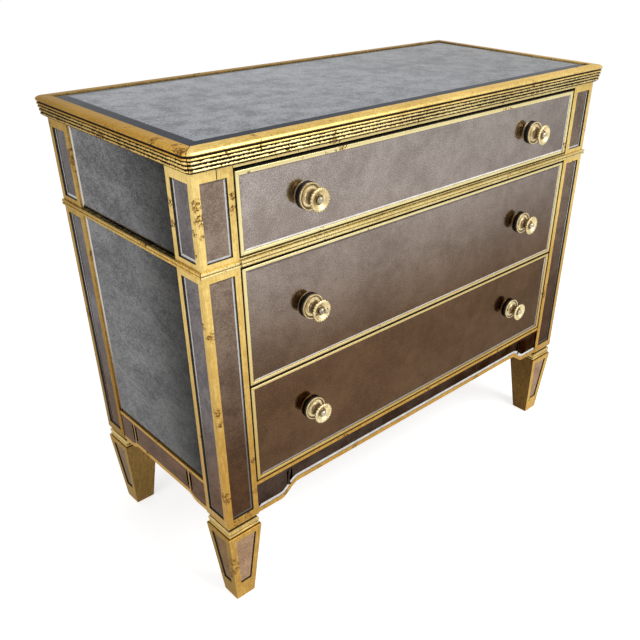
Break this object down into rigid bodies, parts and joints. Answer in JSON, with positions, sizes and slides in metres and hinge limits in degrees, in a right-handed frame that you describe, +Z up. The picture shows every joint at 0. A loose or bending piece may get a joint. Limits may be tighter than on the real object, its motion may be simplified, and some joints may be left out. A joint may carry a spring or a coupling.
{
  "type": "chest of drawers",
  "caption": "Chest of drawers with a gilded wooden frame, antiqued mirror panels, a reeded top moulding and square tapered feet.",
  "frame": {"origin": "on the floor under the middle of the whole chest, knobs and moulding included", "axes": "+Z up, +X along the width, the drawers face -Y and open along -Y"},
  "size_m": [0.965, 0.4546, 0.817],
  "materials": {
    "gold_frame": "antiqued gold leaf over wood, rubbed and speckled",
    "antique_mirror": "smoky antiqued mirror, cloudy and mottled",
    "case_wood": "dark stained, matt",
    "drawer_wood": "plain, matt",
    "knob_brass": "pale aged brass, satin"
  },
  "bodies": {
    "case": {"post_front_left": "gold_frame", "post_front_right": "gold_frame", "post_rear_left": "gold_frame", "post_rear_right": "gold_frame", "foot_front_left": "gold_frame", "foot_front_right": "gold_frame", "foot_rear_left": "gold_frame", "foot_rear_right": "gold_frame", "top_moulding_front": "gold_frame", "top_moulding_rear": "gold_frame", "top_moulding_left": "gold_frame", "top_moulding_right": "gold_frame", "band_left": "gold_frame", "band_right": "gold_frame", "mid_rail": "gold_frame", "apron_front": "gold_frame", "apron_left": "gold_frame", "apron_right": "gold_frame", "top_board": "case_wood", "side_panel_left": "case_wood", "side_panel_right": "case_wood", "back_panel": "case_wood", "floor_board": "case_wood", "runner_top_left": "case_wood", "runner_top_right": "case_wood", "runner_middle_left": "case_wood", "runner_middle_right": "case_wood", "top_mirror": "antique_mirror", "mirror_side_left_lower": "antique_mirror", "mirror_side_left_upper": "antique_mirror", "mirror_side_right_lower": "antique_mirror", "mirror_side_right_upper": "antique_mirror", "mirror_post_front_left_side_lower": "antique_mirror", "mirror_post_front_left_side_upper": "antique_mirror", "mirror_post_front_left_face_lower": "antique_mirror", "mirror_post_front_left_face_upper": "antique_mirror", "mirror_post_front_right_side_lower": "antique_mirror", "mirror_post_front_right_side_upper": "antique_mirror", "mirror_post_front_right_face_lower": "antique_mirror", "mirror_post_front_right_face_upper": "antique_mirror", "mirror_post_rear_left_side_lower": "antique_mirror", "mirror_post_rear_left_side_upper": "antique_mirror", "mirror_post_rear_right_side_lower": "antique_mirror", "mirror_post_rear_right_side_upper": "antique_mirror"},
    "drawer_top": {"drawer_top_front": "gold_frame", "drawer_top_mirror": "antique_mirror", "drawer_top_box": "drawer_wood", "drawer_top_knob_left": "knob_brass", "drawer_top_knob_right": "knob_brass"},
    "drawer_middle": {"drawer_middle_front": "gold_frame", "drawer_middle_mirror": "antique_mirror", "drawer_middle_box": "drawer_wood", "drawer_middle_knob_left": "knob_brass", "drawer_middle_knob_right": "knob_brass"},
    "drawer_bottom": {"drawer_bottom_front": "gold_frame", "drawer_bottom_mirror": "antique_mirror", "drawer_bottom_box": "drawer_wood", "drawer_bottom_knob_left": "knob_brass", "drawer_bottom_knob_right": "knob_brass"}
  },
  "joints": [
    {"name": "drawer_top_slide", "type": "slide", "parent": "case", "child": "drawer_top", "axis": [0, -1, 0], "range_m": [0, 0.28]},
    {"name": "drawer_middle_slide", "type": "slide", "parent": "case", "child": "drawer_middle", "axis": [0, -1, 0], "range_m": [0, 0.28]},
    {"name": "drawer_bottom_slide", "type": "slide", "parent": "case", "child": "drawer_bottom", "axis": [0, -1, 0], "range_m": [0, 0.28]}
  ]
}
